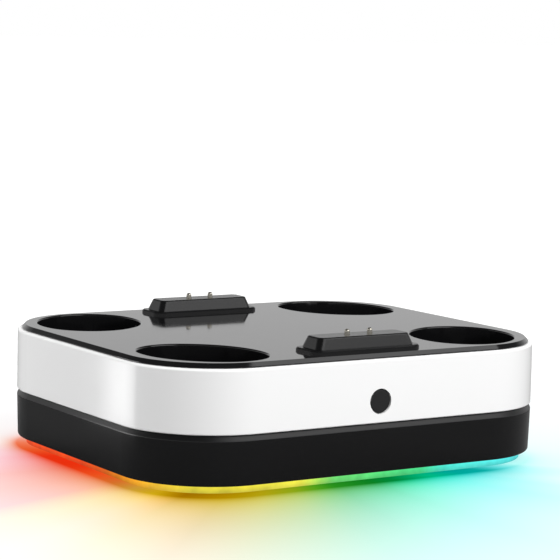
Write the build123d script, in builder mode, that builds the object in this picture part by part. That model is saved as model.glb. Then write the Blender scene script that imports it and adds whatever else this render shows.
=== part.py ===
"""Charging dock for two game controllers that stand in it back to back.

The dock is a stack of four layers clamped together by screws from below: a
black base with a clear light ring under it, a white sleeve round the middle,
and a black deck with four deep wells for the grips. Millimetres, +Z up, the
front faces -Y, and the origin is on the table under the middle of the body.
"""

import math
import os

from build123d import *

# Body outline seen from above
body_width = 175.0
body_depth = 146.0
corner_radius = 35.0

# Heights of the layers, from the table up
foot_height = 0.8
light_height = 2.8
base_height = 18.3
band_height = 23.4
rim_height = 1.8

# Walls and edges of the shells
deck_thickness = 2.4
skirt_wall = 1.8
rim_inset = 1.7
rim_bevel = 1.2
rim_step = 0.4
band_wall = 2.0
band_flange = 1.5
band_edge = 0.5
band_top_round = 0.9
base_wall = 4.4
base_flange = 2.0
base_flange_width = 6.6
base_bevel = 1.1
base_bevel_height = 2.1
base_bevel_edge = 0.5
base_bottom_round = 1.0
base_draft_angle = 1.5
plate_thickness = 1.8
plate_lip = 0.8
plate_wall = 1.2
plate_wall_height = 0.9

# Grip wells
well_side_land = 5.4
well_end_land = 2.6
well_length = 49.6
well_width = 40.2
well_end_radius = 17.5
well_turn = 60.0
well_floor_gap = 0.6
well_draft_angle = 4.0
well_wall = 1.8
well_floor = 1.6
well_floor_round = 5.0
well_foot_bevel = 4.5
well_mouth_round = 0.6

# Charging stems, one at the front and one at the rear
stem_from_end = 15.5
stem_length_top = 39.6
stem_length_bottom = 42.8
stem_depth_top = 10.0
stem_depth_bottom = 12.4
stem_flange_length = 47.6
stem_flange_depth = 15.6
stem_flange_height = 1.3
stem_height = 5.5
stem_corner = 2.4
stem_edge = 0.8
stem_roof = 2.2
stem_skirt_length = 38.0
stem_skirt_depth = 9.0
stem_skirt_reach = 3.2
stem_pocket_length = 33.0
stem_pocket_depth = 6.0
snap_width = 6.0
snap_height = 1.6
snap_bite = 0.9

# Spring contacts
pin_spacing = 10.0
pin_diameter = 2.0
pin_reach = 2.1
pin_tail_diameter = 2.4
pin_tail_length = 3.0
barrel_diameter = 3.2
barrel_mouth = 1.4
barrel_floor = 1.0

# Light ring and the LEDs behind it
ring_inset = 3.8
ring_width = 4.0
led_count = 22
led_length = 3.0
led_height = 1.8
led_depth = 0.9
strip_thickness = 0.4
strip_height = 2.3
ribbon_width = 4.0
ribbon_thickness = 0.8
ribbon_x = 14.0

# Button in the middle of the front
button_rise = 8.0
button_diameter = 8.7
button_flange_rim = 1.1
button_flange = 1.0
button_recess = 0.2
button_post_diameter = 4.0
button_travel = 0.6
switch_width = 6.2
switch_depth = 4.2
switch_height = 7.4
switch_axis = 4.2
plunger_diameter = 3.4
plunger_reach = 1.3
plunger_seat = 1.3

# Main board under the deck
board_width = 48.0
board_thickness = 1.6
board_corner = 2.0
board_front_gap = 3.0
board_rear_gap = 0.5
board_screw_x = 19.0
board_screw_y = 32.0
board_boss_diameter = 6.0
chip_size = 5.0
chip_height = 0.9
inductor_size = 7.0
inductor_height = 3.2
capacitor_diameter = 6.3
capacitor_height = 5.4

# Power socket at the rear
socket_width = 8.94
socket_height = 3.26
socket_length = 7.3
socket_shell = 0.3
socket_setback = 0.6
tongue_width = 6.7
tongue_thickness = 0.7
tongue_length = 4.6

# Feet and screws
foot_from_side = 27.5
foot_from_end = 27.0
foot_diameter = 12.0
foot_seat = 1.0
foot_edge = 0.4
side_screw_from_side = 15.5
end_screw_x = 31.0
end_screw_from_end = 17.5
boss_diameter = 7.0
pad_diameter = 9.0
pad_height = 1.5
head_diameter = 5.0
head_height = 1.6
head_recess = 1.9
shank_diameter = 2.6
shank_length = 11.0
board_head_diameter = 4.0
board_head_height = 1.4
board_shank_diameter = 2.0
board_shank_length = 6.0
cross_width = 0.8
cross_length = 2.6
cross_depth = 0.6

# Clearances
fit_gap = 0.2
pilot_gap = 0.05
running_gap = 0.05
button_gap = 0.3
cable_gap = 0.25

# Levels that follow from the heights
z_plate = foot_height
z_base = z_plate + light_height
z_band = z_base + base_height
z_rim = z_band + band_height
z_deck = z_rim + rim_height
z_under_deck = z_deck - deck_thickness
z_plate_top = z_plate + plate_thickness
z_pad_top = z_plate_top + pad_height
z_lip_top = z_plate + plate_lip
button_height = z_band + button_rise
z_board = button_height + switch_axis
z_board_top = z_board + board_thickness
z_well_under = z_plate_top + well_floor_gap
z_well_floor = z_well_under + well_floor
z_stem_top = z_deck + stem_height
z_stem_roof = z_stem_top - stem_roof
z_stem_foot = z_under_deck - stem_skirt_reach
z_barrel_top = z_stem_roof - fit_gap
z_pin_tip = z_stem_top + pin_reach

# Insets from the outer outline
skirt_inset = band_wall + fit_gap
skirt_inner = skirt_inset + skirt_wall
flange_inner = skirt_inner + fit_gap
ring_inner = ring_inset + ring_width
led_inset = ring_inner + fit_gap
strip_inset = led_inset + led_depth
strip_inner = strip_inset + strip_thickness
plate_wall_inset = strip_inner + 0.5 * fit_gap

# Four arcs that run into each other make the oval of a well
well_end_centre = well_length / 2 - well_end_radius
well_side_radius = (well_end_centre**2 + (well_width / 2) ** 2 - well_end_radius**2) / (
    well_width - 2 * well_end_radius
)
well_lean = math.acos(well_end_centre / (well_side_radius - well_end_radius))


def well_reach(angle):
    """How far a well reaches from its centre, at an angle in degrees from its length."""
    lean = math.radians(angle)
    if lean < well_lean:
        return well_end_radius + well_end_centre * math.cos(lean)
    return well_side_radius - (well_side_radius - well_width / 2) * math.sin(lean)


# Positions in plan
y_face = body_depth / 2
deck_edge = rim_inset + rim_bevel
well_x = body_width / 2 - deck_edge - well_side_land - well_reach(well_turn)
well_y = y_face - deck_edge - well_end_land - well_reach(90 - well_turn)
stem_y = y_face - stem_from_end
foot_x = body_width / 2 - foot_from_side
foot_y = y_face - foot_from_end
side_screw_x = body_width / 2 - side_screw_from_side
end_screw_y = y_face - end_screw_from_end
y_board_front = -(y_face - skirt_inner - board_front_gap)
y_board_rear = y_face - skirt_inner - board_rear_gap
y_socket_mouth = y_face - socket_setback
y_switch_face = y_board_front - button_gap
y_plunger_tip = y_switch_face - plunger_reach

well_spots = [
    Location((x, y, 0), (0, 0, math.copysign(well_turn, -x * y)))
    for x in (-well_x, well_x)
    for y in (-well_y, well_y)
]
foot_spots = {
    "front_left": (-foot_x, -foot_y),
    "front_right": (foot_x, -foot_y),
    "rear_left": (-foot_x, foot_y),
    "rear_right": (foot_x, foot_y),
}
screw_spots = [(-side_screw_x, 0), (side_screw_x, 0)]
screw_spots += [(x, y) for x in (-end_screw_x, end_screw_x) for y in (-end_screw_y, end_screw_y)]
board_screw_spots = [(x, y) for x in (-board_screw_x, board_screw_x) for y in (-board_screw_y, board_screw_y)]
pin_spots = {
    "front_left": (-pin_spacing / 2, -stem_y),
    "front_right": (pin_spacing / 2, -stem_y),
    "rear_left": (-pin_spacing / 2, stem_y),
    "rear_right": (pin_spacing / 2, stem_y),
}
stem_sides = {"front": -stem_y, "rear": stem_y}


def body_outline(inset, height):
    """Rounded outline of the body, drawn in by the inset, on a level plane."""
    with BuildSketch(Plane.XY.offset(height)) as outline:
        RectangleRounded(body_width - 2 * inset, body_depth - 2 * inset, corner_radius - inset)
    return outline.sketch


def at_height(part, height, slack=0.05):
    """Edges of a part that lie wholly at one height."""
    return part.edges().filter_by_position(Axis.Z, height - slack, height + slack)


os.makedirs("parts", exist_ok=True)


def well_oval(grow, height):
    """Oval of a well, grown all round, on a level plane, its length along X."""
    end = well_end_radius + grow
    x = well_end_centre + end * math.cos(well_lean)
    y = end * math.sin(well_lean)
    with BuildSketch(Plane.XY.offset(height)) as oval:
        with BuildLine():
            ThreePointArc((-x, y), (0, well_width / 2 + grow), (x, y))
            ThreePointArc((x, y), (well_length / 2 + grow, 0), (x, -y))
            ThreePointArc((x, -y), (0, -well_width / 2 - grow), (-x, -y))
            ThreePointArc((-x, -y), (-well_length / 2 - grow, 0), (-x, y))
        make_face()
    return oval.sketch


# One grip well: the tapered space for the grip, and the cup round it
well_shrink = math.tan(math.radians(well_draft_angle))
with BuildPart() as well_space:
    extrude(
        well_oval(-(z_deck - z_well_floor) * well_shrink, z_well_floor),
        amount=z_deck - z_well_floor,
        taper=-well_draft_angle,
    )
    fillet(at_height(well_space, z_well_floor), radius=well_floor_round)

with BuildPart() as well_cup:
    extrude(
        well_oval(well_wall - (z_deck - z_well_under) * well_shrink, z_well_under),
        amount=z_under_deck - z_well_under,
        taper=-well_draft_angle,
    )
    chamfer(at_height(well_cup, z_well_under), length=well_foot_bevel)

# Top deck: rim, skirt, wells, bosses and the openings for the stems
with BuildPart() as top_deck:
    extrude(body_outline(rim_inset, z_rim), amount=rim_step)
    rim_lean = math.degrees(math.atan2(rim_bevel, rim_height - rim_step))
    extrude(body_outline(rim_inset, z_rim + rim_step), amount=rim_height - rim_step, taper=rim_lean)
    extrude(body_outline(skirt_inset, z_band + band_flange), amount=z_rim - z_band - band_flange)
    extrude(
        body_outline(skirt_inner, z_band + band_flange),
        amount=z_under_deck - z_band - band_flange,
        mode=Mode.SUBTRACT,
    )
    with Locations(*well_spots):
        add(well_cup.part)
    with Locations(*well_spots):
        add(well_space.part, mode=Mode.SUBTRACT)
    mouths = at_height(top_deck, z_deck).filter_by(GeomType.CIRCLE)
    outer_corner = corner_radius - rim_inset - rim_bevel
    fillet([e for e in mouths if abs(e.radius - outer_corner) > 0.5], radius=well_mouth_round)
    with BuildSketch(Plane.XY.offset(z_under_deck)):
        with Locations((0, -stem_y), (0, stem_y)):
            Rectangle(stem_skirt_length + 2 * fit_gap, stem_skirt_depth + 2 * fit_gap)
    extrude(amount=deck_thickness, mode=Mode.SUBTRACT)
    with BuildSketch(Plane.XY.offset(z_pad_top)):
        with Locations(*screw_spots):
            Circle(boss_diameter / 2)
    extrude(amount=z_under_deck - z_pad_top)
    with BuildSketch(Plane.XY.offset(z_pad_top)):
        with Locations(*screw_spots):
            Circle(shank_diameter / 2 + pilot_gap)
    extrude(amount=shank_length + 2, mode=Mode.SUBTRACT)
    with BuildSketch(Plane.XY.offset(z_board_top)):
        with Locations(*board_screw_spots):
            Circle(board_boss_diameter / 2)
    extrude(amount=z_under_deck - z_board_top)
    with BuildSketch(Plane.XY.offset(z_board_top)):
        with Locations(*board_screw_spots):
            Circle(board_shank_diameter / 2 + pilot_gap)
    extrude(amount=board_shank_length + 1, mode=Mode.SUBTRACT)
    with BuildSketch(Plane.XZ.offset(y_face)):
        with Locations((0, button_height)):
            Circle(button_diameter / 2 + button_flange_rim + 0.5)
    extrude(amount=-2 * skirt_inner, mode=Mode.SUBTRACT)
    with BuildSketch(Plane.XZ.offset(-y_face)):
        with Locations((0, z_board - socket_height / 2)):
            SlotOverall(socket_width + 4 * cable_gap, socket_height + 4 * cable_gap)
    extrude(amount=2 * skirt_inner, mode=Mode.SUBTRACT)
top_deck.part.label = "top_deck"
export_step(top_deck.part, "parts/top_deck.step")

# Fascia band: white sleeve with a foot flange that the deck's skirt clamps
with BuildPart() as fascia_band:
    extrude(body_outline(0, z_band), amount=band_height)
    fillet(at_height(fascia_band, z_rim), radius=band_top_round)
    fillet(at_height(fascia_band, z_band), radius=band_edge)
    extrude(body_outline(flange_inner, z_band), amount=band_height, mode=Mode.SUBTRACT)
    extrude(
        body_outline(band_wall, z_band + band_flange),
        amount=band_height - band_flange,
        mode=Mode.SUBTRACT,
    )
    with BuildSketch(Plane.XZ.offset(y_face)):
        with Locations((0, button_height)):
            Circle(button_diameter / 2 + button_gap)
    extrude(amount=-skirt_inset, mode=Mode.SUBTRACT)
    with BuildSketch(Plane.XZ.offset(-y_face)):
        with Locations((0, z_board - socket_height / 2)):
            SlotOverall(socket_width + 2 * cable_gap, socket_height + 2 * cable_gap)
    extrude(amount=skirt_inset, mode=Mode.SUBTRACT)
fascia_band.part.label = "fascia_band"
export_step(fascia_band.part, "parts/fascia_band.step")

# Base housing: drafted ring with a bevelled top edge and a foot flange
base_draft = (base_height - base_bevel_height) * math.tan(math.radians(base_draft_angle))
with BuildPart() as base_housing:
    extrude(body_outline(base_draft, z_base), amount=base_height - base_bevel_height, taper=-base_draft_angle)
    base_lean = math.degrees(math.atan2(base_bevel, base_bevel_height))
    extrude(body_outline(0, z_band - base_bevel_height), amount=base_bevel_height, taper=base_lean)
    fillet(at_height(base_housing, z_base), radius=base_bottom_round)
    fillet(at_height(base_housing, z_band - base_bevel_height), radius=base_bevel_edge)
    extrude(body_outline(base_flange_width, z_base), amount=base_height, mode=Mode.SUBTRACT)
    extrude(
        body_outline(base_wall, z_base + base_flange),
        amount=base_height - base_flange,
        mode=Mode.SUBTRACT,
    )
base_housing.part.label = "base_housing"
export_step(base_housing.part, "parts/base_housing.step")

# Light ring: clear ring bonded under the base's foot flange
with BuildPart() as light_ring:
    extrude(body_outline(ring_inset, z_plate), amount=light_height)
    extrude(body_outline(ring_inner, z_plate), amount=light_height, mode=Mode.SUBTRACT)
light_ring.part.label = "light_ring"
export_step(light_ring.part, "parts/light_ring.step")

# LED strip standing on the plate's lip, with its chips facing outwards
with BuildPart() as led_strip:
    extrude(body_outline(strip_inset, z_lip_top), amount=strip_height)
    extrude(body_outline(strip_inner, z_lip_top), amount=strip_height, mode=Mode.SUBTRACT)
led_strip.part.label = "led_strip"
export_step(led_strip.part, "parts/led_strip.step")

led_path = body_outline(led_inset + led_depth / 2, z_lip_top + strip_height / 2).faces()[0].outer_wire()
led_spots = []
for index in range(led_count):
    along = (index + 0.5) / led_count
    spot = led_path.position_at(along)
    heading = led_path.tangent_at(along)
    turn = math.degrees(math.atan2(heading.Y, heading.X))
    led_spots.append(Location((spot.X, spot.Y, spot.Z), (0, 0, turn)))
with BuildPart() as led_chips:
    with Locations(*led_spots):
        Box(led_length, led_depth, led_height)
led_chips.part.label = "led_chips"
export_step(led_chips.part, "parts/led_chips.step")

# Ribbon from the main board down to the LED strip
z_strip_top = z_lip_top + strip_height
with BuildPart() as led_ribbon:
    with BuildSketch(Plane.XY.offset(z_strip_top)):
        with Locations((ribbon_x, y_face - strip_inset - strip_thickness / 2)):
            Rectangle(ribbon_width, ribbon_thickness)
    extrude(amount=z_board - z_strip_top)
led_ribbon.part.label = "led_ribbon"
export_step(led_ribbon.part, "parts/led_ribbon.step")

# Bottom plate: lip under the LED strip, a wall behind it, pads for the screws
with BuildPart() as bottom_plate:
    extrude(body_outline(led_inset, z_plate), amount=plate_lip)
    extrude(body_outline(plate_wall_inset, z_plate), amount=plate_thickness + plate_wall_height)
    extrude(
        body_outline(plate_wall_inset + plate_wall, z_plate_top),
        amount=plate_wall_height,
        mode=Mode.SUBTRACT,
    )
    with BuildSketch(Plane.XY.offset(z_plate_top)):
        with Locations(*screw_spots):
            Circle(pad_diameter / 2)
    extrude(amount=pad_height)
    with BuildSketch(Plane.XY.offset(z_plate)):
        with Locations(*foot_spots.values()):
            Circle(foot_diameter / 2 + fit_gap / 2)
    extrude(amount=foot_seat, mode=Mode.SUBTRACT)
    with BuildSketch(Plane.XY.offset(z_plate)):
        with Locations(*screw_spots):
            Circle(head_diameter / 2 + fit_gap)
    extrude(amount=head_recess, mode=Mode.SUBTRACT)
    with BuildSketch(Plane.XY.offset(z_plate)):
        with Locations(*screw_spots):
            Circle(shank_diameter / 2 + fit_gap)
    extrude(amount=plate_thickness + pad_height, mode=Mode.SUBTRACT)
bottom_plate.part.label = "bottom_plate"
export_step(bottom_plate.part, "parts/bottom_plate.step")

# Rubber feet let into the bottom plate
for side, (foot_at_x, foot_at_y) in foot_spots.items():
    with BuildPart() as foot:
        with BuildSketch(Plane.XY):
            with Locations((foot_at_x, foot_at_y)):
                Circle(foot_diameter / 2)
        extrude(amount=foot_height + foot_seat)
        chamfer(at_height(foot, 0), length=foot_edge)
    foot.part.label = "foot_" + side
    export_step(foot.part, "parts/foot_" + side + ".step")

# Screws that clamp the stack from below
z_head = z_plate + head_recess - head_height
with BuildPart() as bottom_screws:
    with BuildSketch(Plane.XY.offset(z_head)):
        with Locations(*screw_spots):
            Circle(head_diameter / 2)
    extrude(amount=head_height)
    with BuildSketch(Plane.XY.offset(z_head + head_height)):
        with Locations(*screw_spots):
            Circle(shank_diameter / 2)
    extrude(amount=z_pad_top + shank_length - z_head - head_height)
    with BuildSketch(Plane.XY.offset(z_head)):
        with Locations(*screw_spots):
            Rectangle(cross_length, cross_width)
            Rectangle(cross_width, cross_length)
    extrude(amount=cross_depth, mode=Mode.SUBTRACT)
bottom_screws.part.label = "bottom_screws"
export_step(bottom_screws.part, "parts/bottom_screws.step")

# Main board hung under the deck
board_length = y_board_rear - y_board_front
board_middle = (y_board_rear + y_board_front) / 2
with BuildPart() as main_board:
    with BuildSketch(Plane.XY.offset(z_board)):
        with Locations((0, board_middle)):
            RectangleRounded(board_width, board_length, board_corner)
        with Locations(*board_screw_spots):
            Circle(board_shank_diameter / 2 + fit_gap, mode=Mode.SUBTRACT)
    extrude(amount=board_thickness)
main_board.part.label = "main_board"
export_step(main_board.part, "parts/main_board.step")

with BuildPart() as board_screws:
    with BuildSketch(Plane.XY.offset(z_board - board_head_height)):
        with Locations(*board_screw_spots):
            Circle(board_head_diameter / 2)
    extrude(amount=board_head_height)
    with BuildSketch(Plane.XY.offset(z_board)):
        with Locations(*board_screw_spots):
            Circle(board_shank_diameter / 2)
    extrude(amount=board_thickness + board_shank_length)
    with BuildSketch(Plane.XY.offset(z_board - board_head_height)):
        with Locations(*board_screw_spots):
            Rectangle(cross_length, cross_width)
            Rectangle(cross_width, cross_length)
    extrude(amount=cross_depth, mode=Mode.SUBTRACT)
board_screws.part.label = "board_screws"
export_step(board_screws.part, "parts/board_screws.step")

# One charging circuit for each end of the board
chip_y = 0.35 * board_length / 2
with BuildPart() as charge_chips:
    with BuildSketch(Plane.XY.offset(z_board_top)):
        with Locations((0, -chip_y), (0, chip_y)):
            Rectangle(chip_size, chip_size)
    extrude(amount=chip_height)
charge_chips.part.label = "charge_chips"
export_step(charge_chips.part, "parts/charge_chips.step")

with BuildPart() as power_inductors:
    with BuildSketch(Plane.XY.offset(z_board_top)):
        with Locations((-2 * inductor_size, -chip_y), (-2 * inductor_size, chip_y)):
            RectangleRounded(inductor_size, inductor_size, inductor_size / 5)
    extrude(amount=inductor_height)
power_inductors.part.label = "power_inductors"
export_step(power_inductors.part, "parts/power_inductors.step")

with BuildPart() as board_capacitors:
    with BuildSketch(Plane.XY.offset(z_board_top)):
        with Locations((2 * capacitor_diameter, -chip_y), (2 * capacitor_diameter, chip_y)):
            Circle(capacitor_diameter / 2)
    extrude(amount=capacitor_height)
board_capacitors.part.label = "board_capacitors"
export_step(board_capacitors.part, "parts/board_capacitors.step")

# Power socket hung under the rear edge of the board
z_socket = z_board - socket_height / 2
with BuildPart() as socket_body:
    with BuildSketch(Plane.XZ.offset(-y_socket_mouth)):
        with Locations((0, z_socket)):
            SlotOverall(socket_width, socket_height)
    extrude(amount=socket_length)
    with BuildSketch(Plane.XZ.offset(-y_socket_mouth)):
        with Locations((0, z_socket)):
            SlotOverall(socket_width - 2 * socket_shell, socket_height - 2 * socket_shell)
    extrude(amount=socket_length - 2 * socket_shell, mode=Mode.SUBTRACT)
socket_body.part.label = "power_socket_shell"
export_step(socket_body.part, "parts/power_socket_shell.step")

with BuildPart() as socket_tongue:
    with BuildSketch(Plane.XZ.offset(socket_length - y_socket_mouth - 2 * socket_shell)):
        with Locations((0, z_socket)):
            Rectangle(tongue_width, tongue_thickness)
    extrude(amount=-tongue_length)
socket_tongue.part.label = "power_socket_tongue"
export_step(socket_tongue.part, "parts/power_socket_tongue.step")

# Switch under the front edge of the board, and the button that presses it
with BuildPart() as light_switch:
    with BuildSketch(Plane.XZ.offset(-y_switch_face)):
        with Locations((0, z_board - switch_height / 2)):
            Rectangle(switch_width, switch_height)
    extrude(amount=-switch_depth)
    with BuildSketch(Plane.XZ.offset(-y_switch_face)):
        with Locations((0, button_height)):
            Circle(plunger_diameter / 2 + running_gap)
    extrude(amount=-plunger_seat - 1.5 * button_travel, mode=Mode.SUBTRACT)
light_switch.part.label = "light_switch"
export_step(light_switch.part, "parts/light_switch.step")

with BuildPart() as switch_plunger:
    with BuildSketch(Plane.XZ.offset(-y_plunger_tip)):
        with Locations((0, button_height)):
            Circle(plunger_diameter / 2)
    extrude(amount=-plunger_reach - plunger_seat)
switch_plunger.part.label = "switch_plunger"
export_step(switch_plunger.part, "parts/switch_plunger.step")

y_button_flange = -(y_face - band_wall)
with BuildPart() as light_button:
    with BuildSketch(Plane.XZ.offset(y_face - button_recess)):
        with Locations((0, button_height)):
            Circle(button_diameter / 2)
    extrude(amount=-(band_wall - button_recess))
    fillet(light_button.edges().group_by(Axis.Y)[0], radius=band_edge)
    with BuildSketch(Plane.XZ.offset(-y_button_flange)):
        with Locations((0, button_height)):
            Circle(button_diameter / 2 + button_flange_rim)
    extrude(amount=-button_flange)
    with BuildSketch(Plane.XZ.offset(-y_button_flange - button_flange)):
        with Locations((0, button_height)):
            Circle(button_post_diameter / 2)
    extrude(amount=-(y_plunger_tip - y_button_flange - button_flange))
light_button.part.label = "light_button"
export_step(light_button.part, "parts/light_button.step")

# Charging stems: tapered blocks snapped into the deck from above
for side, stem_at_y in stem_sides.items():
    with BuildPart() as stem:
        with BuildSketch(Plane.XY.offset(z_deck)):
            with Locations((0, stem_at_y)):
                RectangleRounded(stem_flange_length, stem_flange_depth, stem_corner + stem_flange_height)
        extrude(amount=stem_flange_height)
        chamfer(at_height(stem, z_deck + stem_flange_height), length=0.4 * stem_flange_height)
        with BuildSketch(Plane.XY.offset(z_deck + stem_flange_height)):
            with Locations((0, stem_at_y)):
                RectangleRounded(stem_length_bottom, stem_depth_bottom, stem_corner)
        with BuildSketch(Plane.XY.offset(z_stem_top)):
            with Locations((0, stem_at_y)):
                RectangleRounded(stem_length_top, stem_depth_top, stem_corner)
        loft()
        fillet(at_height(stem, z_stem_top), radius=stem_edge)
        with BuildSketch(Plane.XY.offset(z_stem_foot)):
            with Locations((0, stem_at_y)):
                Rectangle(stem_skirt_length, stem_skirt_depth)
        extrude(amount=z_deck - z_stem_foot)
        with BuildSketch(Plane.XZ.offset(-stem_at_y - snap_width / 2)):
            for end in (-1, 1):
                with BuildLine():
                    Polyline(
                        (end * stem_skirt_length / 2, z_under_deck - snap_height),
                        (end * (stem_skirt_length / 2 + snap_bite), z_under_deck),
                        (end * stem_skirt_length / 2, z_under_deck),
                        close=True,
                    )
                make_face()
        extrude(amount=snap_width)
        with BuildSketch(Plane.XY.offset(z_stem_foot)):
            with Locations((0, stem_at_y)):
                Rectangle(stem_pocket_length, stem_pocket_depth)
        extrude(amount=z_stem_roof - z_stem_foot, mode=Mode.SUBTRACT)
        with BuildSketch(Plane.XY.offset(z_stem_roof)):
            with Locations((-pin_spacing / 2, stem_at_y), (pin_spacing / 2, stem_at_y)):
                Circle(pin_diameter / 2 + fit_gap)
        extrude(amount=stem_roof, mode=Mode.SUBTRACT)
    stem.part.label = side + "_stem"
    export_step(stem.part, "parts/" + side + "_stem.step")

    # Barrels soldered to the board under the stem
    with BuildPart() as barrels:
        with BuildSketch(Plane.XY.offset(z_board_top)):
            with Locations((-pin_spacing / 2, stem_at_y), (pin_spacing / 2, stem_at_y)):
                Circle(barrel_diameter / 2)
        extrude(amount=z_barrel_top - z_board_top)
        with BuildSketch(Plane.XY.offset(z_board_top + barrel_floor)):
            with Locations((-pin_spacing / 2, stem_at_y), (pin_spacing / 2, stem_at_y)):
                Circle(pin_tail_diameter / 2 + running_gap)
        extrude(amount=z_barrel_top - barrel_mouth - z_board_top - barrel_floor, mode=Mode.SUBTRACT)
        with BuildSketch(Plane.XY.offset(z_barrel_top - barrel_mouth)):
            with Locations((-pin_spacing / 2, stem_at_y), (pin_spacing / 2, stem_at_y)):
                Circle(pin_diameter / 2 + running_gap)
        extrude(amount=barrel_mouth, mode=Mode.SUBTRACT)
    barrels.part.label = side + "_barrels"
    export_step(barrels.part, "parts/" + side + "_barrels.step")

# Spring contacts: a round-nosed pin with a wider tail held in its barrel
z_tail_top = z_barrel_top - barrel_mouth
for side, (pin_at_x, pin_at_y) in pin_spots.items():
    with BuildPart() as pin:
        with BuildSketch(Plane.XY.offset(z_tail_top - pin_tail_length)):
            with Locations((pin_at_x, pin_at_y)):
                Circle(pin_tail_diameter / 2)
        extrude(amount=pin_tail_length)
        with BuildSketch(Plane.XY.offset(z_tail_top)):
            with Locations((pin_at_x, pin_at_y)):
                Circle(pin_diameter / 2)
        extrude(amount=z_pin_tip - z_tail_top)
        fillet(at_height(pin, z_pin_tip), radius=0.45 * pin_diameter)
    pin.part.label = "contact_pin_" + side
    export_step(pin.part, "parts/contact_pin_" + side + ".step")
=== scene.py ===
"""Looks of a charging dock for two game controllers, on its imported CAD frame.

Laid out as an add-on: property groups for the sizes and colours, one operator
for each piece or group of like pieces and one for the stage, and a panel that
lists them. Metres, +Z up, and the front of the dock faces -Y.
"""

import math

import bpy
from mathutils import Matrix, Vector


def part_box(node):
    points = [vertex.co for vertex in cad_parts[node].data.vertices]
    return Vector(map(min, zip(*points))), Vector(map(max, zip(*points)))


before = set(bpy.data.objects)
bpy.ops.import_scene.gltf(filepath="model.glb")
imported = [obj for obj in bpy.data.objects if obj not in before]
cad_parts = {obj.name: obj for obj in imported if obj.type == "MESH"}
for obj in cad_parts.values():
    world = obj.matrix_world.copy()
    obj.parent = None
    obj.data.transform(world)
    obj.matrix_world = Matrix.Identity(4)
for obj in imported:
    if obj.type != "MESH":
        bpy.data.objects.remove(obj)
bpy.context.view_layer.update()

bl_info = {
    "name": "Controller Charging Dock",
    "version": (1, 0, 0),
    "blender": (4, 5, 0),
    "location": "3D View > Sidebar > Dock",
    "description": "Finishes and stage for a charging dock with a lit ring under it",
    "category": "Object",
}

MM = 0.001

# Part of a noise's range that most of its values fill, for slow noise and for fine grain
NOISE_BAND = (0.3, 0.7)
GRAIN_BAND = (0.35, 0.65)

# Sizes of the slow unevenness in a polish, in a colour and in the ring's glow
HAZE_SIZE = 14.0 * MM
CLOUD_SIZE = 22.0 * MM
FLECK_SIZE = 6.0 * MM

# Handling lines in plated metal: how close they lie along the axis, as a share of across, and
# their depth
SCRATCH_STRETCH = 0.15
SCRATCH_DEPTH = 0.02 * MM

# Indices of refraction
POLISHED_IOR = 1.52
ERODED_IOR = 1.5
ACRYLIC_IOR = 1.49

# The base's bevel: its height under the band, and half the line over which its finish changes
BEVEL_HEIGHT = 2.3 * MM
BEVEL_BLEND = 0.3 * MM

# The floor: its size, the corner radius of the outline that it measures its distance from, and
# the distance up to which its own light leaves out the full share of the lamps
FLOOR_SIZE = 30.0
OUTLINE_CORNER = 35.0 * MM
SHADOW_REACH = 50.0 * MM

# Rise of a mirrored ray, as a share of its length, where the walls end and the ceiling begins
WALLS_END = 0.2
CEILING_START = 0.45

# The camera: width of its sensor in millimetres, and the nearest and farthest it sees
SENSOR_WIDTH = 36.0
CLIP_RANGE = (0.01, 100.0)

# Places of a mix node's two inputs and of its result, whose names repeat for each type of data,
# and of its factor: one for all channels, or one for each
MIX_PLACES = {"FLOAT": (2, 3, 0), "VECTOR": (4, 5, 1), "RGBA": (6, 7, 2)}
EVEN_FACTOR = 0
CHANNEL_FACTOR = 1


def linear(code):
    """Turns an sRGB hex colour into the linear values that Blender stores."""
    parts = [int(code[i : i + 2], 16) / 255 for i in (1, 3, 5)]
    return tuple(c / 12.92 if c <= 0.04045 else ((c + 0.055) / 1.055) ** 2.4 for c in parts)


def add_node(tree, kind, settings=None, values=None, links=None):
    """Adds one node with its settings, socket values and incoming links."""
    made = tree.nodes.new(kind)
    for name, value in (settings or {}).items():
        setattr(made, name, value)
    for name, value in (values or {}).items():
        made.inputs[name].default_value = value
    for name, socket in (links or {}).items():
        tree.links.new(socket, made.inputs[name])
    return made


def set_inputs(tree, node, terms):
    """Links those inputs that are given a socket and sets the others to their plain value."""
    for place, term in terms.items():
        if isinstance(term, bpy.types.NodeSocket):
            tree.links.new(term, node.inputs[place])
        else:
            node.inputs[place].default_value = term


def add_math(tree, operation, *terms):
    """Works out one operation on sockets or plain numbers and returns the result's socket."""
    made = add_node(tree, "ShaderNodeMath", settings={"operation": operation})
    set_inputs(tree, made, dict(enumerate(terms)))
    return made.outputs["Value"]


def add_mix(tree, kind, factor, first, second, factor_place=EVEN_FACTOR, **settings):
    """Mixes two sockets or plain values by a factor and returns the result's socket."""
    first_place, second_place, result = MIX_PLACES[kind]
    made = add_node(tree, "ShaderNodeMix", settings={"data_type": kind, **settings})
    set_inputs(tree, made, {factor_place: factor, first_place: first, second_place: second})
    return made.outputs[result]


def add_range(tree, value, start, stop, low=0.0, high=1.0):
    """Maps a socket's value from start and stop to low and high, and holds it past both."""
    made = add_node(
        tree,
        "ShaderNodeMapRange",
        values={"From Min": start, "From Max": stop, "To Min": low, "To Max": high},
        links={"Value": value},
    )
    return made.outputs["Result"]


def add_noise(tree, where, size, detail, roughness=0.5):
    """Noise with features of about the given size."""
    made = add_node(
        tree,
        "ShaderNodeTexNoise",
        values={"Scale": 1.0 / size, "Detail": detail, "Roughness": roughness},
        links={"Vector": where},
    )
    return made.outputs["Fac"]


def add_turn(tree, where):
    """The turn about the vertical from 0 to 1, by which the colour tables go."""
    made = add_node(
        tree,
        "ShaderNodeTexGradient",
        settings={"gradient_type": "RADIAL"},
        links={"Vector": where},
    )
    return made.outputs["Fac"]


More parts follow.
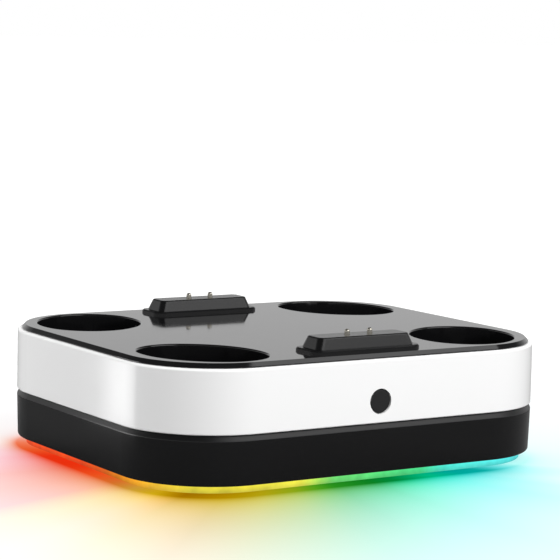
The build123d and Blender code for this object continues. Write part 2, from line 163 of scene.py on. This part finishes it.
def add_ramp(tree, value, stops):
    """Colours a socket's value by a ramp with (position, linear colour) stops."""
    made = add_node(tree, "ShaderNodeValToRGB", links={"Fac": value})
    elements = made.color_ramp.elements
    while len(elements) > 1:
        elements.remove(elements[-1])
    elements[0].position = stops[0][0]
    elements[0].color = (*stops[0][1], 1.0)
    for place, colour in stops[1:]:
        elements.new(place).color = (*colour, 1.0)
    return made.outputs["Color"]


def start_material(name):
    """A new material with an empty node tree, its output and object coordinates."""
    made = bpy.data.materials.new(name)
    made.use_nodes = True
    tree = made.node_tree
    tree.nodes.clear()
    output = add_node(tree, "ShaderNodeOutputMaterial")
    where = add_node(tree, "ShaderNodeTexCoord").outputs["Object"]
    return made, tree, output, where


def dress(material, *names):
    """Gives CAD nodes a material in every slot they have."""
    for name in names:
        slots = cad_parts[name].material_slots
        for slot in slots:
            slot.material = material


class DockFinishProps(bpy.types.PropertyGroup):
    """Colours of the mouldings."""

    deck_colour: bpy.props.FloatVectorProperty(
        name="Deck",
        description="Colour of the polished deck moulding",
        subtype="COLOR",
        size=3,
        min=0.0,
        max=1.0,
        default=linear("#0C0C0D"),
    )
    band_colour: bpy.props.FloatVectorProperty(
        name="Band",
        description="Colour of the white sleeve",
        subtype="COLOR",
        size=3,
        min=0.0,
        max=1.0,
        default=linear("#F1F1F1"),
    )
    base_colour: bpy.props.FloatVectorProperty(
        name="Base",
        description="Colour of the lower shell",
        subtype="COLOR",
        size=3,
        min=0.0,
        max=1.0,
        default=linear("#080809"),
    )
    button_colour: bpy.props.FloatVectorProperty(
        name="Button",
        description="Colour of the button's matt face",
        subtype="COLOR",
        size=3,
        min=0.0,
        max=1.0,
        default=linear("#151516"),
    )
    stem_colour: bpy.props.FloatVectorProperty(
        name="Stems",
        description="Colour of the charging stems",
        subtype="COLOR",
        size=3,
        min=0.0,
        max=1.0,
        default=linear("#080809"),
    )
    contact_colour: bpy.props.FloatVectorProperty(
        name="Contacts",
        description="Colour of the plated contact pins",
        subtype="COLOR",
        size=3,
        min=0.0,
        max=1.0,
        default=linear("#D9D4C8"),
    )


class DockLightProps(bpy.types.PropertyGroup):
    """Brightness of the light ring, and of its light that is painted on the floor."""

    ring_strength: bpy.props.FloatProperty(
        name="Ring",
        description="Emission of the clear ring, where 1 shows its colours as they are written",
        default=1.0,
        min=0.0,
        max=20.0,
    )
    chip_strength: bpy.props.FloatProperty(
        name="LED chips",
        description="Emission of the LED packages behind the ring",
        default=3.0,
        min=0.0,
        max=50.0,
    )
    # How far the ring's light, painted on the floor, reaches before the floor is white
    spill_reach: bpy.props.FloatProperty(
        name="Spill reach",
        description="Scales the distance over which the ring's colour on the floor fades to white",
        subtype="FACTOR",
        default=1.0,
        min=0.1,
        max=5.0,
    )


class DockStageProps(bpy.types.PropertyGroup):
    """Floor, room, lamps and camera."""

    floor_colour: bpy.props.FloatVectorProperty(
        name="Floor",
        description="Colour of the plain floor where the lamps light it",
        subtype="COLOR",
        size=3,
        min=0.0,
        max=1.0,
        default=linear("#FFFFFF"),
    )
    floor_bounce: bpy.props.FloatVectorProperty(
        name="Floor bounce",
        description="Colour of the floor for the light it throws back on the object",
        subtype="COLOR",
        size=3,
        min=0.0,
        max=1.0,
        default=linear("#6C6C6C"),
    )
    floor_shadow: bpy.props.FloatProperty(
        name="Floor shadow",
        description="Share of the floor's light that comes from the lamps, and that a shadow"
        " takes away",
        subtype="FACTOR",
        default=0.14,
        min=0.0,
        max=1.0,
    )
    white_reach: bpy.props.FloatProperty(
        name="White at",
        description="Distance from the body where the floor is the white background",
        subtype="DISTANCE",
        unit="LENGTH",
        default=0.25,
        min=0.06,
        max=2.0,
    )
    key_power: bpy.props.FloatProperty(
        name="Front softbox",
        description="Power of the softbox in front, for soft light only",
        subtype="POWER",
        unit="POWER",
        default=11.4,
        min=0.0,
        max=100.0,
    )
    side_power: bpy.props.FloatProperty(
        name="Side softbox",
        description="Power of the low softbox behind, on the left, for soft light only",
        subtype="POWER",
        unit="POWER",
        default=4.6,
        min=0.0,
        max=100.0,
    )
    rear_power: bpy.props.FloatProperty(
        name="Rear softbox",
        description="Power of the softbox behind, on the right, for soft light only",
        subtype="POWER",
        unit="POWER",
        default=8.0,
        min=0.0,
        max=100.0,
    )
    bevel_power: bpy.props.FloatProperty(
        name="Bevel light",
        description="Power of the dim sheet in front that shows only in reflections",
        subtype="POWER",
        unit="POWER",
        default=4.2,
        min=0.0,
        max=100.0,
    )
    strip_power: bpy.props.FloatProperty(
        name="Strip light",
        description="Power of the low strip that draws a streak down the front left corner",
        subtype="POWER",
        unit="POWER",
        default=0.02,
        min=0.0,
        max=10.0,
    )
    fill_strength: bpy.props.FloatProperty(
        name="Room fill",
        description="Strength of the white room's light on the object",
        default=0.42,
        min=0.0,
        max=5.0,
    )
    wall_strength: bpy.props.FloatProperty(
        name="Room walls",
        description="Strength of the room's walls in reflections",
        default=0.75,
        min=0.0,
        max=5.0,
    )
    ceiling_strength: bpy.props.FloatProperty(
        name="Room ceiling",
        description="Strength of the room's ceiling in reflections",
        default=0.1,
        min=0.0,
        max=5.0,
    )
    camera_azimuth: bpy.props.FloatProperty(
        name="Azimuth",
        description="Turn of the camera about the vertical; 0 looks along +Y",
        subtype="ANGLE",
        unit="ROTATION",
        default=math.radians(-32.569),
    )
    camera_elevation: bpy.props.FloatProperty(
        name="Elevation",
        description="How far the camera looks down",
        subtype="ANGLE",
        unit="ROTATION",
        default=math.radians(6.550),
    )
    camera_roll: bpy.props.FloatProperty(
        name="Roll",
        description="Tilt of the camera about its own axis",
        subtype="ANGLE",
        unit="ROTATION",
        default=math.radians(1.348),
    )
    camera_lens: bpy.props.FloatProperty(
        name="Lens",
        description="Focal length of the camera, in millimetres",
        default=145.05,
        min=10.0,
        max=500.0,
    )
    camera_place: bpy.props.FloatVectorProperty(
        name="Place",
        description="Where the camera stands",
        subtype="TRANSLATION",
        unit="LENGTH",
        size=3,
        default=(-0.46544, -0.73202, 0.16573),
    )


# Colours of the light ring round the body, by turn: 0 is the left side, 0.25 the
# front, 0.5 the right side and 0.75 the rear
RING_COLOURS = [
    (0.000, "#E23E00"),
    (0.030, "#DC5400"),
    (0.055, "#DA7C00"),
    (0.075, "#F0A418"),
    (0.092, "#F0C030"),
    (0.112, "#E3D43C"),
    (0.147, "#E3D63E"),
    (0.182, "#EDE84A"),
    (0.198, "#A8E65E"),
    (0.212, "#6FE274"),
    (0.260, "#52DC7A"),
    (0.298, "#48DA88"),
    (0.308, "#48E0AE"),
    (0.320, "#4CE6D2"),
    (0.360, "#54E6E2"),
    (0.430, "#48E0EA"),
    (0.500, "#30D0F0"),
    (0.600, "#3562F0"),
    (0.690, "#7A3CF0"),
    (0.790, "#CF32D8"),
    (0.860, "#F03060"),
    (0.920, "#F04A10"),
    (0.985, "#F24800"),
    (1.000, "#E23E00"),
]

# The ring's light on the floor, painted into the floor's colour, by the same turn: its colour
# right at the body, darker at the front with painted shade under the ring's edge, and the
# distances in millimetres over which red, green and blue fade to the floor's own white
PAINTED_SPILL = [
    (0.000, "#F87C50", 20, 42, 37),
    (0.030, "#FA9561", 20, 52, 44),
    (0.055, "#EEAE70", 6, 62, 42),
    (0.075, "#E8CB7C", 6, 24, 44),
    (0.092, "#E8D251", 4, 33, 39),
    (0.109, "#CEAD00", 14, 33, 54),
    (0.132, "#D6BC15", 54, 76, 76),
    (0.154, "#D6CB4C", 140, 76, 76),
    (0.178, "#BCCE56", 180, 64, 64),
    (0.195, "#92CB5A", 140, 54, 54),
    (0.210, "#6CC05F", 110, 39, 46),
    (0.245, "#47B564", 90, 17, 28),
    (0.270, "#00BC82", 64, 8, 17),
    (0.303, "#00D9B8", 54, 8, 10),
    (0.327, "#00CEC7", 33, 8, 8),
    (0.345, "#3CD0CC", 18, 6, 6),
    (0.360, "#A0EEEE", 24, 4, 4),
    (0.375, "#D9FEFC", 46, 4, 4),
    (0.420, "#EBFCFC", 90, 8, 8),
    (0.500, "#F2FDFD", 90, 60, 60),
    (0.680, "#F6F2FF", 60, 60, 60),
    (0.850, "#FDF6F6", 27, 27, 27),
    (0.885, "#FCE0DC", 8, 8, 8),
    (0.910, "#FCB89C", 4, 5, 5),
    (0.935, "#F89A6C", 4, 11, 8),
    (0.958, "#F87750", 4, 20, 15),
    (0.985, "#F8764B", 10, 32, 26),
    (1.000, "#F87C50", 20, 42, 37),
]

# Shortest of those distances. It sets the scale of the ramp that holds them, and the painted shade
# close under the ring's edge fades over it
SHORTEST_FADE = 4


def polished_abs(name, colour, roughness, wave_mm, depth_mm):
    """ABS moulded against a polished tool: an even colour under a clear gloss, with
    the slow waviness and the slightly uneven polish that bend its reflections."""
    made, tree, output, where = start_material(name)
    wave = add_noise(tree, where, wave_mm * MM, detail=2.0, roughness=0.4)
    haze = add_noise(tree, where, HAZE_SIZE, detail=4.0, roughness=0.6)
    polish = add_range(tree, haze, *NOISE_BAND, roughness * 0.85, roughness * 1.2)
    bump = add_node(
        tree,
        "ShaderNodeBump",
        values={"Strength": 0.25, "Distance": depth_mm * MM},
        links={"Height": wave},
    )
    shader = add_node(
        tree,
        "ShaderNodeBsdfPrincipled",
        values={"Base Color": (*colour, 1.0), "IOR": POLISHED_IOR},
        links={"Roughness": polish, "Normal": bump.outputs["Normal"]},
    )
    tree.links.new(shader.outputs["BSDF"], output.inputs["Surface"])
    return made


def eroded_abs(name, colour, roughness, grain_mm, depth_mm, bevel_start=None, bevel_roughness=0.0):
    """ABS moulded against a spark-eroded tool: a fine even grain that softens every
    highlight. The grain is drawn coarser than the real 0.05 mm so that it shows. Above
    bevel_start, where it is given, the tool left a duller bevel."""
    made, tree, output, where = start_material(name)
    grain = add_noise(tree, where, grain_mm * MM, detail=3.0, roughness=0.55)
    cloud = add_noise(tree, where, CLOUD_SIZE, detail=3.0)
    shades = [tuple(c * share for c in colour) for share in (0.92, 1.08)]
    tint = add_ramp(tree, cloud, list(zip(NOISE_BAND, shades)))
    sheen = add_range(tree, grain, *GRAIN_BAND, roughness * 0.92, roughness * 1.08)
    if bevel_start is not None:
        height = add_node(tree, "ShaderNodeSeparateXYZ", links={"Vector": where})
        duller = add_range(
            tree,
            height.outputs["Z"],
            bevel_start - BEVEL_BLEND,
            bevel_start + BEVEL_BLEND,
            high=bevel_roughness - roughness,
        )
        sheen = add_math(tree, "ADD", sheen, duller)
    bump = add_node(
        tree,
        "ShaderNodeBump",
        values={"Strength": 0.3, "Distance": depth_mm * MM},
        links={"Height": grain},
    )
    shader = add_node(
        tree,
        "ShaderNodeBsdfPrincipled",
        values={"IOR": ERODED_IOR},
        links={"Base Color": tint, "Roughness": sheen, "Normal": bump.outputs["Normal"]},
    )
    tree.links.new(shader.outputs["BSDF"], output.inputs["Surface"])
    return made


def plated_metal(name, colour, roughness, scratch_mm):
    """Plated and barrel-polished metal: bright, with fine lines left by handling."""
    made, tree, output, where = start_material(name)
    size = scratch_mm * MM
    stretch = add_node(
        tree,
        "ShaderNodeMapping",
        values={"Scale": (1.0 / size, 1.0 / size, SCRATCH_STRETCH / size)},
        links={"Vector": where},
    )
    lines = add_noise(tree, stretch.outputs["Vector"], 1.0, detail=4.0, roughness=0.6)
    wear = add_range(tree, lines, *NOISE_BAND, roughness * 0.7, roughness * 1.4)
    bump = add_node(
        tree,
        "ShaderNodeBump",
        values={"Strength": 0.15, "Distance": SCRATCH_DEPTH},
        links={"Height": lines},
    )
    shader = add_node(
        tree,
        "ShaderNodeBsdfPrincipled",
        values={"Base Color": (*colour, 1.0), "Metallic": 1.0},
        links={"Roughness": wear, "Normal": bump.outputs["Normal"]},
    )
    tree.links.new(shader.outputs["BSDF"], output.inputs["Surface"])
    return made


def lit_acrylic(name, strength):
    """Clear cast acrylic, or the clear package of an LED, lit from behind: it glows in the
    colours of the LEDs, brightest along the top where the light enters, under a hard
    polished skin."""
    made, tree, output, where = start_material(name)
    stops = [(place, linear(code)) for place, code in RING_COLOURS]
    hue = add_ramp(tree, add_turn(tree, where), stops)
    height = add_node(tree, "ShaderNodeSeparateXYZ", links={"Vector": where})
    low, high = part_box("light_ring")
    glow = add_range(tree, height.outputs["Z"], low.z, high.z, 0.75, 1.25)
    fleck = add_noise(tree, where, FLECK_SIZE, detail=3.0)
    uneven = add_range(tree, fleck, *NOISE_BAND, 0.85, 1.2)
    level = add_math(tree, "MULTIPLY", glow, uneven)
    power = add_math(tree, "MULTIPLY", level, strength)
    shader = add_node(
        tree,
        "ShaderNodeBsdfPrincipled",
        values={"Roughness": 0.08, "IOR": ACRYLIC_IOR, "Base Color": (0.02, 0.02, 0.02, 1.0)},
        links={"Emission Color": hue, "Emission Strength": power},
    )
    tree.links.new(shader.outputs["BSDF"], output.inputs["Surface"])
    return made


class DOCK_OT_deck(bpy.types.Operator):
    """Finishes the deck with its wells in polished black"""

    bl_idname = "dock.deck"
    bl_label = "Finish the Deck"

    def execute(self, context):
        finish = context.scene.dock_finish
        deck = polished_abs(
            "polished_black_abs",
            tuple(finish.deck_colour),
            roughness=0.07,
            wave_mm=9.0,
            depth_mm=0.02,
        )
        dress(deck, "top_deck")
        return {"FINISHED"}


class DOCK_OT_band(bpy.types.Operator):
    """Finishes the white sleeve"""

    bl_idname = "dock.band"
    bl_label = "Finish the Band"

    def execute(self, context):
        finish = context.scene.dock_finish
        band = polished_abs(
            "polished_white_abs",
            tuple(finish.band_colour),
            roughness=0.18,
            wave_mm=12.0,
            depth_mm=0.015,
        )
        dress(band, "fascia_band")
        return {"FINISHED"}


class DOCK_OT_base(bpy.types.Operator):
    """Finishes the lower shell and the plate that closes it"""

    bl_idname = "dock.base"
    bl_label = "Finish the Base"

    def execute(self, context):
        finish = context.scene.dock_finish
        bevel_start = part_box("fascia_band")[0].z - BEVEL_HEIGHT
        base = eroded_abs(
            "satin_black_abs",
            tuple(finish.base_colour),
            roughness=0.16,
            grain_mm=0.5,
            depth_mm=0.01,
            bevel_start=bevel_start,
            bevel_roughness=0.36,
        )
        dress(base, "base_housing")
        plate = eroded_abs(
            "matt_black_abs", linear("#1C1C1D"), roughness=0.55, grain_mm=0.8, depth_mm=0.05
        )
        dress(plate, "bottom_plate")
        return {"FINISHED"}


class DOCK_OT_feet(bpy.types.Operator):
    """Finishes the rubber feet and the screws that clamp the body"""

    bl_idname = "dock.feet"
    bl_label = "Finish the Feet and Screws"

    def execute(self, context):
        rubber = eroded_abs(
            "moulded_rubber", linear("#2A2A2A"), roughness=0.75, grain_mm=0.6, depth_mm=0.06
        )
        dress(rubber, *[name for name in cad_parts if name.startswith("foot_")])
        zinc = plated_metal(
            "zinc_plated_steel", linear("#8C8E92"), roughness=0.32, scratch_mm=0.4
        )
        dress(zinc, "bottom_screws", "board_screws")
        return {"FINISHED"}


class DOCK_OT_stems(bpy.types.Operator):
    """Finishes the charging stems and their spring contacts"""

    bl_idname = "dock.stems"
    bl_label = "Finish the Stems and Contacts"

    def execute(self, context):
        finish = context.scene.dock_finish
        stem = eroded_abs(
            "satin_black_stem_abs",
            tuple(finish.stem_colour),
            roughness=0.25,
            grain_mm=0.4,
            depth_mm=0.008,
        )
        dress(stem, "front_stem", "rear_stem")
        contact = plated_metal(
            "nickel_plated_brass", tuple(finish.contact_colour), roughness=0.18, scratch_mm=0.25
        )
        pins = [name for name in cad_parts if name.startswith("contact_pin_")]
        dress(contact, *pins, "front_barrels", "rear_barrels")
        return {"FINISHED"}


class DOCK_OT_button(bpy.types.Operator):
    """Finishes the button in the middle of the front and the switch behind it"""

    bl_idname = "dock.button"
    bl_label = "Finish the Button"

    def execute(self, context):
        finish = context.scene.dock_finish
        button = eroded_abs(
            "matt_button_abs",
            tuple(finish.button_colour),
            roughness=0.6,
            grain_mm=0.35,
            depth_mm=0.02,
        )
        dress(button, "light_button", "switch_plunger", "light_switch")
        return {"FINISHED"}


class DOCK_OT_ring(bpy.types.Operator):
    """Lights the clear ring and the LEDs behind it"""

    bl_idname = "dock.ring"
    bl_label = "Light the Ring"

    def execute(self, context):
        light = context.scene.dock_light
        dress(lit_acrylic("cast_acrylic_lit", light.ring_strength), "light_ring")
        dress(lit_acrylic("led_package_lit", light.chip_strength), "led_chips")
        film = eroded_abs(
            "white_strip_film", linear("#DEDCD6"), roughness=0.5, grain_mm=0.7, depth_mm=0.01
        )
        dress(film, "led_strip", "led_ribbon")
        return {"FINISHED"}


class DOCK_OT_inside(bpy.types.Operator):
    """Finishes the board, its components and the power socket"""

    bl_idname = "dock.inside"
    bl_label = "Finish the Inside"

    def execute(self, context):
        mask = polished_abs(
            "green_solder_mask", linear("#1F5A36"), roughness=0.3, wave_mm=3.0, depth_mm=0.03
        )
        dress(mask, "main_board")
        epoxy = eroded_abs(
            "moulded_epoxy", linear("#232325"), roughness=0.5, grain_mm=0.3, depth_mm=0.02
        )
        dress(epoxy, "charge_chips", "power_socket_tongue")
        ferrite = eroded_abs(
            "sintered_ferrite", linear("#4A4A4C"), roughness=0.7, grain_mm=0.5, depth_mm=0.04
        )
        dress(ferrite, "power_inductors")
        can = plated_metal(
            "drawn_aluminium", linear("#C8C9CC"), roughness=0.28, scratch_mm=0.5
        )
        dress(can, "board_capacitors")
        shell = plated_metal(
            "nickel_plated_steel", linear("#B9BABD"), roughness=0.25, scratch_mm=0.3
        )
        dress(shell, "power_socket_shell")
        return {"FINISHED"}


def aim_lamp(name, place, target, width, height, power, diffuse=True, glossy=True):
    """A rectangular softbox at a place, turned to its target, that the camera doesn't see.
    It may be kept out of the soft light or out of the reflections."""
    lamp = bpy.data.lights.new(name, "AREA")
    lamp.shape = "RECTANGLE"
    lamp.size = width
    lamp.size_y = height
    lamp.energy = power
    made = bpy.data.objects.new(name, lamp)
    made.location = place
    made.rotation_euler = (Vector(target) - Vector(place)).to_track_quat("-Z", "Y").to_euler()
    made.visible_camera = False
    made.visible_diffuse = diffuse
    made.visible_glossy = glossy
    bpy.context.scene.collection.objects.link(made)


def pale_floor(stage, light):
    """A floor that is white to the eye, with the ring's light painted into its colour and its own
    light near the body, and painted shade close under the ring's edge. It is held back as a
    reflector so that the black shell stays black, and it is open from below so that the underside
    can be seen."""
    made, tree, output, where = start_material("pale_floor")
    camera_ray = add_node(tree, "ShaderNodeLightPath").outputs["Is Camera Ray"]

    # Distance from the body's rounded outline: the range is a metre long, so it stays in metres
    low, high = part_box("fascia_band")
    half = Vector(((high.x - low.x) / 2, (high.y - low.y) / 2, 0.0))
    fold = add_node(
        tree,
        "ShaderNodeVectorMath",
        settings={"operation": "ABSOLUTE"},
        links={0: where},
    )
    past = add_node(
        tree,
        "ShaderNodeVectorMath",
        settings={"operation": "SUBTRACT"},
        values={1: (half.x - OUTLINE_CORNER, half.y - OUTLINE_CORNER, 0.0)},
        links={0: fold.outputs["Vector"]},
    )
    outside = add_node(
        tree,
        "ShaderNodeVectorMath",
        settings={"operation": "MAXIMUM"},
        values={1: (0.0, 0.0, 0.0)},
        links={0: past.outputs["Vector"]},
    )
    reach = add_node(
        tree,
        "ShaderNodeVectorMath",
        settings={"operation": "LENGTH"},
        links={0: outside.outputs["Vector"]},
    )
    gap = add_range(tree, reach.outputs["Value"], OUTLINE_CORNER, OUTLINE_CORNER + 1.0)

    # Painted ring light: what is left of each channel is e to the power of minus the distance over
    # its fade
    turn = add_turn(tree, where)
    hue = add_ramp(tree, turn, [(row[0], linear(row[1])) for row in PAINTED_SPILL])
    shares = [(row[0], [SHORTEST_FADE / fade for fade in row[2:]]) for row in PAINTED_SPILL]
    rates = add_ramp(tree, turn, shares)
    paces = add_math(tree, "MULTIPLY", gap, -1.0 / (SHORTEST_FADE * MM * light.spill_reach))
    drop = add_node(
        tree,
        "ShaderNodeVectorMath",
        settings={"operation": "SCALE"},
        links={0: rates, "Scale": paces},
    )
    drops = add_node(tree, "ShaderNodeSeparateXYZ", links={"Vector": drop.outputs["Vector"]})
    left = add_node(tree, "ShaderNodeCombineXYZ")
    for axis in "XYZ":
        tree.links.new(add_math(tree, "EXPONENT", drops.outputs[axis]), left.inputs[axis])
    tint = add_mix(
        tree,
        "VECTOR",
        left.outputs["Vector"],
        tuple(stage.floor_colour),
        hue,
        factor_place=CHANNEL_FACTOR,
        factor_mode="NON_UNIFORM",
    )

    # Painted shade close under the ring's edge: there the painted ring light is multiplied by its
    # own colour once more, which darkens and deepens it
    close = add_math(tree, "EXPONENT", paces)
    painted_edge_shade = add_mix(tree, "VECTOR", close, (1.0, 1.0, 1.0), tint)
    spill = add_node(
        tree,
        "ShaderNodeVectorMath",
        settings={"operation": "MULTIPLY"},
        links={0: tint, 1: painted_edge_shade},
    ).outputs["Vector"]

    # The floor's own light leaves out the lamps' share near the body, where their shadow shows
    bright = add_range(tree, gap, SHADOW_REACH, stage.white_reach, 1.0 - stage.floor_shadow)
    lit_share = (stage.floor_shadow,) * 3 + (1.0,)
    matt = add_mix(tree, "RGBA", 1.0, spill, lit_share, blend_type="MULTIPLY")
    # The painted ring light and painted shade make the floor's colour, and for the camera its own
    # light
    shader = add_node(
        tree,
        "ShaderNodeBsdfPrincipled",
        values={"Roughness": 0.6, "Specular IOR Level": 0.0},
        links={
            "Base Color": add_mix(tree, "RGBA", camera_ray, (*stage.floor_bounce, 1.0), matt),
            "Emission Color": spill,
            "Emission Strength": add_math(tree, "MULTIPLY", bright, camera_ray),
        },
    )
    side = add_node(tree, "ShaderNodeNewGeometry")
    clear = add_node(tree, "ShaderNodeBsdfTransparent")
    cover = add_node(
        tree,
        "ShaderNodeMixShader",
        links={
            0: side.outputs["Backfacing"],
            1: shader.outputs["BSDF"],
            2: clear.outputs["BSDF"],
        },
    )
    tree.links.new(cover.outputs["Shader"], output.inputs["Surface"])
    return made


def white_room(stage):
    """A room that is white to the eye, has pale walls under a darker ceiling in
    reflections, and is gentler as a light."""
    made = bpy.data.worlds.new("white_room")
    made.use_nodes = True
    tree = made.node_tree
    tree.nodes.clear()
    output = add_node(tree, "ShaderNodeOutputWorld")
    rays = add_node(tree, "ShaderNodeLightPath").outputs
    heading = add_node(tree, "ShaderNodeTexCoord").outputs["Generated"]
    upward = add_node(tree, "ShaderNodeSeparateXYZ", links={"Vector": heading}).outputs["Z"]
    strengths = (stage.wall_strength, stage.ceiling_strength)
    walls = add_range(tree, upward, WALLS_END, CEILING_START, *strengths)
    mirrored = add_mix(tree, "FLOAT", rays["Is Glossy Ray"], stage.fill_strength, walls)
    plain = add_math(tree, "MAXIMUM", rays["Is Camera Ray"], rays["Is Transmission Ray"])
    level = add_mix(tree, "FLOAT", plain, mirrored, 1.0)
    room = add_node(
        tree,
        "ShaderNodeBackground",
        values={"Color": (1.0, 1.0, 1.0, 1.0)},
        links={"Strength": level},
    )
    tree.links.new(room.outputs["Background"], output.inputs["Surface"])
    return made


def aim_camera(stage):
    """A camera at its place, turned by its azimuth, elevation and roll."""
    azimuth, elevation, roll = stage.camera_azimuth, stage.camera_elevation, stage.camera_roll
    back = Vector(
        (
            math.sin(azimuth) * math.cos(elevation),
            -math.cos(azimuth) * math.cos(elevation),
            math.sin(elevation),
        )
    )
    right = (-back).cross(Vector((0.0, 0.0, 1.0))).normalized()
    up = back.cross(right)
    tilted = right * math.cos(roll) + up * math.sin(roll)
    upright = up * math.cos(roll) - right * math.sin(roll)
    lens = bpy.data.cameras.new("camera")
    lens.lens = stage.camera_lens
    lens.sensor_width = SENSOR_WIDTH
    lens.clip_start, lens.clip_end = CLIP_RANGE
    made = bpy.data.objects.new("camera", lens)
    turned = Matrix((tilted, upright, back)).transposed().to_4x4()
    made.matrix_world = Matrix.Translation(Vector(stage.camera_place)) @ turned
    bpy.context.scene.collection.objects.link(made)
    return made


class DOCK_OT_stage(bpy.types.Operator):
    """Sets up the floor, the white room, the lamps and the camera"""

    bl_idname = "dock.stage"
    bl_label = "Set up the Stage"

    def execute(self, context):
        stage = context.scene.dock_stage
        bpy.ops.mesh.primitive_plane_add(size=FLOOR_SIZE, location=(0.0, 0.0, 0.0))
        floor = context.active_object
        floor.name = "floor"
        floor.data.materials.append(pale_floor(stage, context.scene.dock_light))
        context.scene.world = white_room(stage)

        # Softboxes for the soft light, which no surface mirrors
        aim_lamp(
            "front_softbox",
            place=(0.118, -0.765, 0.69),
            target=(0.0, -0.02, 0.03),
            width=0.6,
            height=0.6,
            power=stage.key_power,
            glossy=False,
        )
        aim_lamp(
            "side_softbox",
            place=(-0.7, 0.47, 0.11),
            target=(-0.05, 0.0, 0.03),
            width=0.6,
            height=0.2,
            power=stage.side_power,
            glossy=False,
        )
        aim_lamp(
            "rear_softbox",
            place=(0.56, 0.68, 0.56),
            target=(0.03, 0.02, 0.03),
            width=0.6,
            height=0.5,
            power=stage.rear_power,
            glossy=False,
        )

        # Sheets that show only in reflections
        aim_lamp(
            "bevel_light",
            place=(0.36, -0.676, 0.643),
            target=(0.0, -0.02, 0.03),
            width=1.1,
            height=0.7,
            power=stage.bevel_power,
            diffuse=False,
        )
        aim_lamp(
            "strip_light",
            place=(-0.139, 0.022, 0.024),
            target=(-0.053, -0.029, 0.024),
            width=0.051,
            height=0.036,
            power=stage.strip_power,
            diffuse=False,
        )
        context.scene.camera = aim_camera(stage)
        context.scene.view_settings.view_transform = "Standard"
        return {"FINISHED"}


class DOCK_PT_panel(bpy.types.Panel):
    """Lists the dock's pieces and settings"""

    bl_idname = "DOCK_PT_panel"
    bl_label = "Charging Dock"
    bl_space_type = "VIEW_3D"
    bl_region_type = "UI"
    bl_category = "Dock"

    def draw(self, context):
        layout = self.layout
        for operator in OPERATORS:
            layout.operator(operator.bl_idname)
        scene = context.scene
        for group in (scene.dock_finish, scene.dock_light, scene.dock_stage):
            box = layout.box()
            for name in group.__annotations__:
                box.prop(group, name)


OPERATORS = (
    DOCK_OT_deck,
    DOCK_OT_band,
    DOCK_OT_base,
    DOCK_OT_feet,
    DOCK_OT_stems,
    DOCK_OT_button,
    DOCK_OT_ring,
    DOCK_OT_inside,
    DOCK_OT_stage,
)
CLASSES = (DockFinishProps, DockLightProps, DockStageProps, *OPERATORS, DOCK_PT_panel)


def register():
    for kind in CLASSES:
        bpy.utils.register_class(kind)
    bpy.types.Scene.dock_finish = bpy.props.PointerProperty(type=DockFinishProps)
    bpy.types.Scene.dock_light = bpy.props.PointerProperty(type=DockLightProps)
    bpy.types.Scene.dock_stage = bpy.props.PointerProperty(type=DockStageProps)


def unregister():
    del bpy.types.Scene.dock_stage
    del bpy.types.Scene.dock_light
    del bpy.types.Scene.dock_finish
    for kind in reversed(CLASSES):
        bpy.utils.unregister_class(kind)


def main():
    register()
    bpy.ops.dock.deck()
    bpy.ops.dock.band()
    bpy.ops.dock.base()
    bpy.ops.dock.feet()
    bpy.ops.dock.stems()
    bpy.ops.dock.button()
    bpy.ops.dock.ring()
    bpy.ops.dock.inside()
    bpy.ops.dock.stage()


if __name__ == "__main__":
    main()
